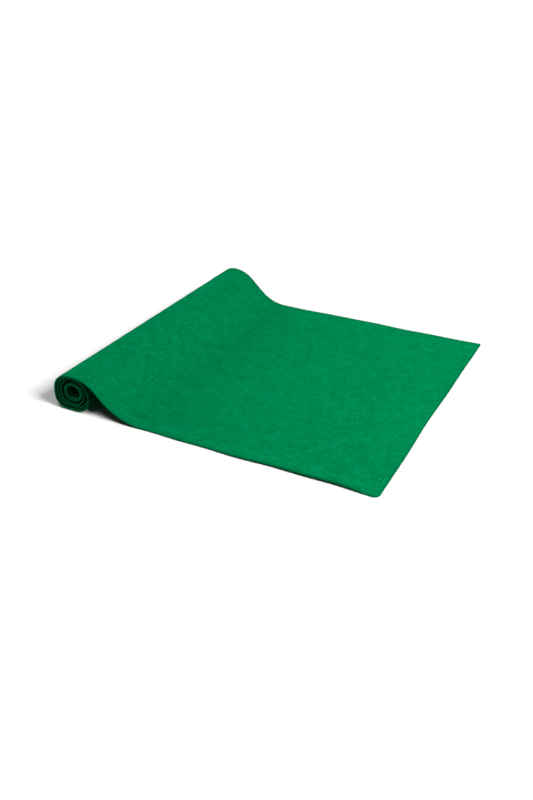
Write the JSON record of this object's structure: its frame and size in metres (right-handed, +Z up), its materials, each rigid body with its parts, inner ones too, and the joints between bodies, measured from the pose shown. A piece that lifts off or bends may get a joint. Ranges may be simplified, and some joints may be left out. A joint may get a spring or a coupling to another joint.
{
  "type": "table runner",
  "caption": "Half-rolled linen table runner: one end wound into a soft roll, the other laid flat, with stitched double-fold hems all round.",
  "frame": {"origin": "middle of the footprint, on the surface that the runner lies on", "axes": "+X along the runner from the roll to the free end, +Y across it from the front long edge to the back one, +Z up"},
  "size_m": [0.451, 0.45, 0.051],
  "materials": {
    "linen": "matt plain-weave linen, piece dyed, slubby",
    "sewing_thread": "spun polyester thread, low sheen, dyed to match",
    "label_tape": "white woven tape, satin"
  },
  "bodies": {
    "root": {"linen_panel": "linen", "front_hem": "linen", "back_hem": "linen", "free_end_hem": "linen", "inner_end_hem": "linen", "front_hem_stitching": "sewing_thread", "back_hem_stitching": "sewing_thread", "free_end_stitching": "sewing_thread", "inner_end_stitching": "sewing_thread", "care_label": "label_tape"}
  },
  "joints": []
}
